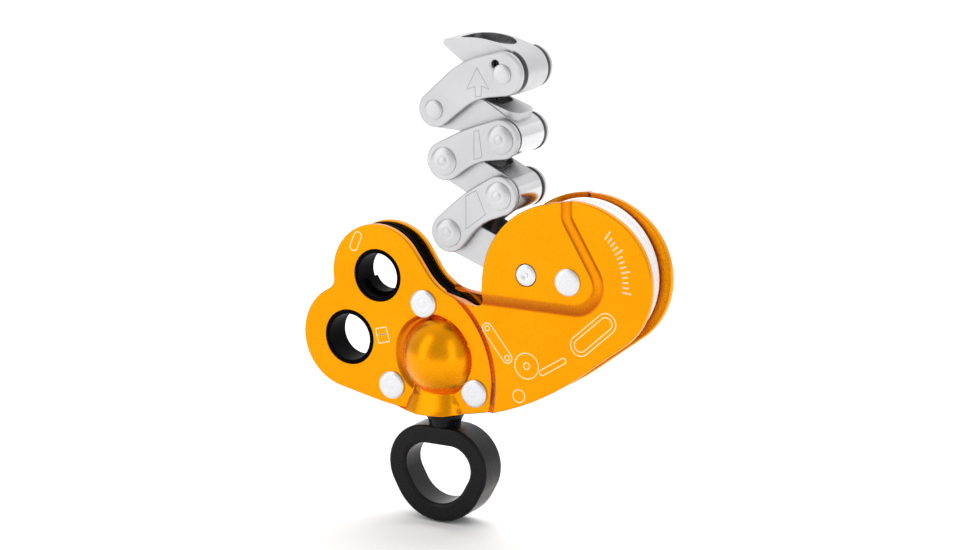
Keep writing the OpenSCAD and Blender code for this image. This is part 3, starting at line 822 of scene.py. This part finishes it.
def pivot(side):
    """One of the chain's two short pivots, flush with a boss, as (radius, y)."""
    profile = [(0, BOSS + 0.05), (0.75, BOSS + 0.05), (0.8, BOSS - 0.12), (1.5, BOSS + 0.1),
               (2.4, BOSS + 0.15), (3.4, BOSS + 0.1), (3.75, BOSS - 0.1),
               (PIVOT_HEAD_R, BOSS - 0.4), (PIVOT_HEAD_R, BOSS - PLATE_T),
               (PIVOT_R, BOSS - PLATE_T), (PIVOT_R, 6.5), (0, 6.5)]
    return lathe([(r, side * y) for r, y in profile], FORK_PIVOT, count=64, closed=False)


piece("pivots", [pivot(-1), pivot(1)], RIVET_STEEL, "root", "chain_pivots", sharp=28)

# ---- Sheave ----
groove_arc = [(RIM_R - ROPE_GROOVE_DEPTH * math.cos(a), ROPE_GROOVE_HALF * math.sin(a))
              for a in np.radians(np.linspace(-84, 84, 23))]
wheel = [(11.05, -RIM_HALF + 1.2), (13.5, -RIM_HALF + 0.6), (19, -RIM_HALF + 0.6),
         (21, -RIM_HALF), (RIM_R - 0.4, -RIM_HALF), (RIM_R, -RIM_HALF + 0.4), *groove_arc,
         (RIM_R, RIM_HALF - 0.4), (RIM_R - 0.4, RIM_HALF), (21, RIM_HALF),
         (19, RIM_HALF - 0.6), (13.5, RIM_HALF - 0.6), (11.05, RIM_HALF - 1.2)]
piece("sheave_rim", [lathe(wheel, AXLE, count=160)], SHEAVE, "sheave_wheel", "sheave")

# ---- Swivel eye ----
EYE_HERE = [(x + SWIVEL_X, z, r, t) for x, z, r, t in EYE]
EYE_OUT = [(x, z, r + EYE_BAND, t) for x, z, r, t in EYE_HERE]


def eye_face(p):
    """Half thickness of the eye: flat, with a rounded chamfer outside and a deeper one inside."""
    out = np.clip(1 - depth_in(p, belt(EYE_OUT)) / EYE_EDGE_OUT[0], 0, 1)
    inn = np.clip(1 + depth_in(p, belt(EYE_HERE)) / EYE_EDGE_IN[0], 0, 1)
    return EYE_HALF - EYE_EDGE_OUT[1] * out ** 1.5 - EYE_EDGE_IN[1] * inn ** 1.5


eye_lines = [(belt(EYE_OUT, d), True) for d in (0.75, 1.0, 1.3)]
eye_lines += [(belt(EYE_HERE, -d), True) for d in (0.7, 0.9, 1.2, 1.5)]
eye = field_solid(
    lambda inset: belt(EYE_OUT, inset), [lambda inset: belt(EYE_HERE, -inset)],
    lambda p: -eye_face(p), lambda p: eye_face(p), lines=eye_lines)
# The neck and the bolt, as (radius, z)
neck = [(0, -33), (5.7, -33), (5.7, -28.2), (6.2, -26.4), (6.8, -25.4), (6.8, -24.4), (6.4, -24.0),
        (6.4, -21.2), (5.6, -20.6), (5.6, -6.5), (5.1, -6.5), (5.1, -30), (0, -30)]
piece("eye", [eye, lathe(neck, (SWIVEL_X, 0), axis="z", closed=False)], BLACK, "swivel",
      "swivel_eye", sharp=40)
bolt = [(0, -35.75), (2.6, -35.7), (3.3, -35.5), (3.7, -35.1), (4.9, -35.0), (4.9, 6.4), (0, 6.4)]
piece("bolt", [lathe(bolt, (SWIVEL_X, 0), axis="z", closed=False)], BLACK, "swivel", "swivel_bolt")


# ---- Chain plates and pins ----
def plate_outline(shape, pitch):
    """A curved chain plate as a belt, from its row of PLATE_SHAPES."""
    left_r, right_r, rise, at_rise, rise_r, dip, at_dip, dip_r = shape
    return [(0, 0, left_r, 1), (at_dip, -dip - dip_r, dip_r, -1), (pitch, 0, right_r, 1),
            (at_rise, rise - rise_r, rise_r, 1)]


def chain_plate(name, level, left, right, side, body, holes):
    """A side plate of the chain, with painted shade on the face that is turned to the links."""
    shape = plate_outline(PLATE_SHAPES[level], span(left, right))
    solid = field_solid(
        lambda inset: belt(shape, inset, 3.0), holes, flat_face(side * SHACKLE_OUT),
        flat_face(side * SHACKLE_IN), rim=0.75, pitch=2.2)
    plate = piece(f"{level}_plate_{name}", [on_pins(solid, left, right)], BLASTED, body,
                  f"{level}_{name}_plate")
    # Painted shade on the face turned to the links
    paint(plate, STEEL_PAINTED_DARK_SHADE, left, right, lambda u, y, v, n: side * n[1] < -0.2)


CHAIN = [
    ("lower", "lower_left_pin", "lower_right_pin", "lower_shackle"),
    ("middle", "middle_left_pin", "middle_right_pin", "middle_shackle"),
    ("top", "top_left_pin", "lever_pin", "top_shackle"),
]
lock_at = to_link(LOCK_HOLE, PIN["top_left_pin"], PIN["lever_pin"])
for level, left, right, body in CHAIN:
    for name, side in (("front", -1), ("rear", 1)):
        holes = []
        if level == "top" and side == -1:
            holes = [lambda inset: ring(lock_at, LOCK_HOLE_R + inset, 32)]
        chain_plate(name, level, PIN[left], PIN[right], side, body, holes)
    for node in (left, right):
        if level == "top":
            solid = headed(PIN[node], TOP_PIN_R, SHACKLE_OUT, TOP_HEAD_R, TOP_HEAD_H, 0.06)
        else:
            solid = headed(PIN[node], PIN_R, SHACKLE_OUT, PIN_HEAD_R, PIN_HEAD_H, 0.32, 0.04)
        piece(node + "_head", [solid], PIN_STEEL, body, node, sharp=28)


# ---- Inner links ----
def rounded_box(u0, u1, half, r, step):
    """A rounded rectangle, from u0 to u1 and half each side of the middle."""
    return belt([(u0 + r, -half + r, r, 1), (u1 - r, -half + r, r, 1), (u1 - r, half - r, r, 1),
                 (u0 + r, half - r, r, 1)], step=step)


def window(u0, u1, r=3.5, z0=-40, z1=40):
    """A cutter for a rope window square to a link, with corners of radius r."""
    return tower(rounded_box(u0, u1, ROPE_HALF, r, 9), z0, z1)


def stadium(pitch, left_r, right_r):
    """The side of a straight link."""
    return belt([(0, 0, left_r, 1), (pitch, 0, right_r, 1)], step=5)


def bore(at, r):
    """A cutter for a pin's hole."""
    return slab(ring(at, r, 40), -30, 30)


def inner_link(name, node, left, right, body, left_r, arch=None):
    """A link with a window for the rope and a bore for each pin.

    arch is a row like those of PLATE_SHAPES. An arched link also has a raised rim on top."""
    pitch = span(left, right)
    joins = []
    if arch:
        rim = rounded_box(LIP_LEFT, pitch + LIP_RIGHT, LINK_HALF - LIP_INSET, LIP_CORNER, 8)
        joins = [tower(rim, LIP_BASE, LIP_TOP)]
    cuts = [window(LINK_WINDOW, pitch - BARREL_R), bore((0, 0), left_r + PIN_FIT),
            bore((pitch, 0), PIN_R + PIN_FIT)]
    side = belt(plate_outline(arch, pitch)) if arch else stadium(pitch, LINK_R, BARREL_R + 0.2)
    obj = carve(name, slab(side, -LINK_HALF, LINK_HALF), joins, cuts)
    place(obj, left, right)
    piece(name, obj, BLASTED, body, node, bevel=0.45)
    # The window's walls and a straight link's top get painted shade, and the round end at the right
    # pin is polished
    paint(obj, STEEL_PAINTED_SOFT_SHADE, left, right, lambda u, y, v, n: 4 < u < pitch - BARREL_R + 0.6
          and abs(y) < ROPE_HALF + 0.1 and abs(n[2]) < 0.5)
    paint(obj, POLISHED, left, right, lambda u, y, v, n: u > pitch + 1 and abs(n[1]) < 0.3
          and v < 5.6)
    if not arch:
        paint(obj, STEEL_PAINTED_SOFT_SHADE, left, right, lambda u, y, v, n: n[2] > 0.8 and 3 < u < pitch + 0.5
              and abs(y) < LINK_HALF - 0.3)


inner_link("link_lower", "lower_inner_link", PIN["middle_left_pin"], PIN["lower_right_pin"],
           "lower_ring", PIN_R)
inner_link("link_upper", "upper_inner_link", PIN["top_left_pin"], PIN["middle_right_pin"],
           "upper_ring", TOP_PIN_R, UPPER_LINK)

fork_pin = PIN["lower_left_pin"]
fork_pitch = span(fork_pin, FORK_PIVOT)
fork = carve(
    "fork", slab(stadium(fork_pitch, LINK_R, FORK_END_R), -LINK_HALF, LINK_HALF), (),
    [window(FORK_MOUTH, fork_pitch + 30, 2.0), bore((0, 0), PIN_R + PIN_FIT),
     bore((fork_pitch, 0), PIVOT_R + PIN_FIT)])
place(fork, fork_pin, FORK_PIVOT)
piece("fork", fork, BLASTED, "fork", "fork_link", bevel=0.4)
# Painted shade inside the fork's mouth
paint(fork, STEEL_PAINTED_DARK_SHADE, fork_pin, FORK_PIVOT,
      lambda u, y, v, n: u > 5.5 and abs(y) < ROPE_HALF + 0.1)

# ---- Release lever ----
HUB = PIN["lever_pin"]
lever_side = belt([(*HUB, HUB_R, 1), LEVER_BACK, LEVER_TIP], step=3)
mouth = belt([(x, 0, MOUTH_R, 1) for x in MOUTH], step=6)
waist = np.concatenate([ring(HUB, WAIST_R, 30, math.radians(-100), math.radians(75)),
                        ring(HUB, 11, 20, math.radians(75), math.radians(-100))])
lever = carve(
    "lever", slab(lever_side, -LINK_HALF, LINK_HALF), (),
    [window(*LEVER_WINDOW, z0=60, z1=140), tower(mouth, MOUTH_FLOOR_Z, 140),
     bore(HUB, TOP_PIN_R + PIN_FIT), slab(waist, -9, -WAIST_HALF), slab(waist, WAIST_HALF, 9)])
piece("lever", lever, BLASTED, "lever", "release_lever", bevel=0.5)
beside_hub = HUB + (10, 0)
# Painted shade on the walls of the lever's rope window
paint(lever, STEEL_PAINTED_SOFT_SHADE, HUB, beside_hub, lambda u, y, v, n: abs(y) < ROPE_HALF + 0.1
      and -20.5 < u < -0.5 and abs(n[2]) < 0.6 and v < 10)

# ---- Washers ----
for level, left, right, body in CHAIN:
    washers = []
    bore_r = (TOP_PIN_R if level == "top" else PIN_R) + PIN_FIT
    for node, r in ((left, WASHER_LEFT_R), (right, WASHER_RIGHT_R)):
        near = WASHER_IN_LEVER if node == "lever_pin" else WASHER_IN
        for side in (-1, 1):
            near_y, far_y = side * near, side * WASHER_OUT
            section = [(r, near_y), (r, far_y), (bore_r, far_y), (bore_r, near_y)]
            washers.append(lathe(rounded(section, 0.15, 2), PIN[node], count=64))
    piece(level + "_gap_washers", washers, WASHER, body, level + "_washers")

# ---- Marks: plain outlines where the real one has lettering and pictures ----
def capsule(a, b, r):
    """A loop round two points."""
    return belt([(*a, r, 1), (*b, r, 1)], step=12)


def box_loop(at, wide, high, angle, r):
    """A rounded rectangle, turned by an angle in degrees."""
    c, s = math.cos(math.radians(angle)), math.sin(math.radians(angle))
    circles = []
    for x, z in ((wide / 2 - r, high / 2 - r), (r - wide / 2, high / 2 - r),
                 (r - wide / 2, r - high / 2), (wide / 2 - r, r - high / 2)):
        circles.append((at[0] + c * x - s * z, at[1] + s * x + c * z, r, 1))
    return belt(circles, step=12)


def bar_loop(a, b, half):
    """A thin bar between two points, half as wide on each side."""
    a, b = np.array(a, float), np.array(b, float)
    n = np.array([-(b - a)[1], (b - a)[0]]) / np.linalg.norm(b - a) * half
    return np.array([a - n, b - n, b + n, a + n])


def tick_end(angle, r):
    """A point on the arc of ticks, which is a little taller than it is wide."""
    return (TICKS_AT[0] + r * math.cos(angle), TICKS_AT[1] + r * math.sin(angle) * TICKS_TALLER)


marks = [
    capsule((2.2, 33.6), (4.0, 37.6), 1.5), box_loop((13.9, 2.4), 4.6, 5.4, 15, 0.5),
    bar_loop((12.2, 2.2), (15.8, 3.2), 0.05),
    box_loop((99.9, 13.9), 20.5, 7.4, 42, 3.6), box_loop((99.9, 13.9), 17.6, 4.6, 42, 2.2),
    capsule((58.6, 11.2), (66.5, 1.5), 1.9),
    ring((58.6, 11.2), 0.9, 20), ring((66.5, 1.5), 0.9, 20),
    ring((74.2, -0.4), 4.6, 48), ring((74.2, -0.4), 1.2, 24), ring((71.2, -11.6), 2.3, 32),
    capsule((80.3, -2.0), (88.5, 3.2), 1.0),
]
for k in range(TICKS):
    a = math.radians(TICKS_START + TICK_PITCH * k)
    long = TICK_LONG if k % 4 == 0 else TICK_SHORT
    marks.append(bar_loop(tick_end(a, TICKS_R), tick_end(a, TICKS_R + long), TICK_HALF))
piece("plate_marks", [ribbon(m, MARK_WIDTH, base_height, -1, MARK_LIFT) for m in marks], ETCH,
      "root")

for body, outline in (("lower_shackle", SCRIBED_LOWER), ("middle_shackle", SCRIBED_MIDDLE),
                      ("top_shackle", SCRIBED_TOP)):
    line = ribbon(outline, SCRIBE_WIDTH, flat_face(SHACKLE_OUT), -1, SCRIBE_LIFT)
    piece(body + "_marks", [line], SCRIBED, body)

# ---- CAD nodes that keep their own shape ----
for material, nodes in (
        (POLISHED, ("axle_sleeves", "sheave_outer_race", "sheave_inner_race", "sheave_balls",
                    "swivel_nut", "swivel_inner_race", "swivel_outer_race", "swivel_balls")),
        (RUBBER, ("sheave_shields", "swivel_seal"))):
    for node in nodes:
        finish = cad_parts[node].data.materials
        finish.clear()
        finish.append(material)

# ---- Scene ----
# The camera's angles in degrees, its distance in metres, and its aim from the box's middle in
# millimetres
AZIMUTH, ELEVATION, DISTANCE, LENS, AIM = 29, 13.2, 1.015, 106.75, (3.0, 0, 3.5)
# The floor's half width and its depth under the object, in metres
FLOOR_REACH, FLOOR_GAP = 6.0, 0.0004
target = Vector((np.array(CAD_BOX[0]) + np.array(CAD_BOX[1])) / 2) + Vector(AIM) * MM


def outward(azimuth, elevation):
    """The direction from the object to a place at these angles, in degrees."""
    a, e = math.radians(azimuth), math.radians(elevation)
    return Vector((math.sin(a) * math.cos(e), -math.cos(a) * math.cos(e), math.sin(e)))


back = outward(AZIMUTH, ELEVATION)
camera = bpy.data.objects.new("camera", bpy.data.cameras.new("camera"))
camera.data.sensor_width, camera.data.lens = 36, LENS
camera.data.clip_start, camera.data.clip_end = 0.05, 20
camera.location = target + back * DISTANCE
camera.rotation_mode = "QUATERNION"
camera.rotation_quaternion = (-back).to_track_quat("-Z", "Y")
bpy.context.scene.collection.objects.link(camera)
bpy.context.scene.camera = camera
bpy.context.scene.view_settings.view_transform = "Standard"

floor_mesh = bpy.data.meshes.new("floor")
floor_z = CAD_BOX[0][2] - FLOOR_GAP
corners = [(x * FLOOR_REACH, y * FLOOR_REACH, floor_z)
           for x, y in ((-1, -1), (1, -1), (1, 1), (-1, 1))]
floor_mesh.from_pydata(corners, [], [(0, 1, 2, 3)])
floor = bpy.data.objects.new("floor", floor_mesh)
bpy.context.scene.collection.objects.link(floor)
pale = bpy.data.materials.new("pale_floor")
pale.use_nodes = True
surface = pale.node_tree.nodes["Principled BSDF"].inputs
surface["Base Color"].default_value = (0.9, 0.9, 0.9, 1)
surface["Roughness"].default_value = 0.9
surface["Specular IOR Level"].default_value = 0.1
floor_mesh.materials.append(pale)

# The world fades from grey, in front and below, to white, behind and above
SKY_UPHILL, SKY_LOW, SKY_HIGH = (-0.3, 0.8, 0.52), 0.7, 1.35
world = bpy.data.worlds.new("studio")
bpy.context.scene.world = world
world.use_nodes = True
sky = world.node_tree
toward = sky.nodes.new("ShaderNodeTexCoord")
uphill = sky.nodes.new("ShaderNodeVectorMath")
fade = sky.nodes.new("ShaderNodeValToRGB")
uphill.operation = "DOT_PRODUCT"
uphill.inputs[1].default_value = SKY_UPHILL
sky.links.new(toward.outputs["Generated"], uphill.inputs[0])
sky.links.new(uphill.outputs["Value"], fade.inputs["Fac"])
sky.links.new(fade.outputs["Color"], sky.nodes["Background"].inputs["Color"])
for stop, level in zip(fade.color_ramp.elements, (SKY_LOW, SKY_HIGH)):
    stop.color = (level, level, level, 1)


def softbox(name, at, size, radiance, aim=(0, 0, 0), shine=True):
    """An area light at an azimuth, an elevation and a distance in metres, facing the object.

    aim moves the point that it faces, and shine lets it show in reflections."""
    light = bpy.data.objects.new(name, bpy.data.lights.new(name, "AREA"))
    light.data.shape, light.data.energy = "RECTANGLE", radiance * math.pi * size[0] * size[1]
    light.data.size, light.data.size_y = size
    light.location = target + outward(at[0], at[1]) * at[2]
    light.rotation_mode = "QUATERNION"
    light.rotation_quaternion = (light.location - target - Vector(aim)).to_track_quat("Z", "Y")
    light.visible_camera, light.visible_glossy = False, shine
    bpy.context.scene.collection.objects.link(light)


softbox("key", (-36, 16, 1.0), (0.42, 1.3), 1.12)
softbox("fill", (46, 16, 1.0), (0.3, 1.3), 1.1)
# The back light lifts the faces that look up, and stays out of reflections
softbox("back", (185, 60, 2.2), (2.6, 2.0), 2.4, aim=(0, 0.7, 0), shine=False)
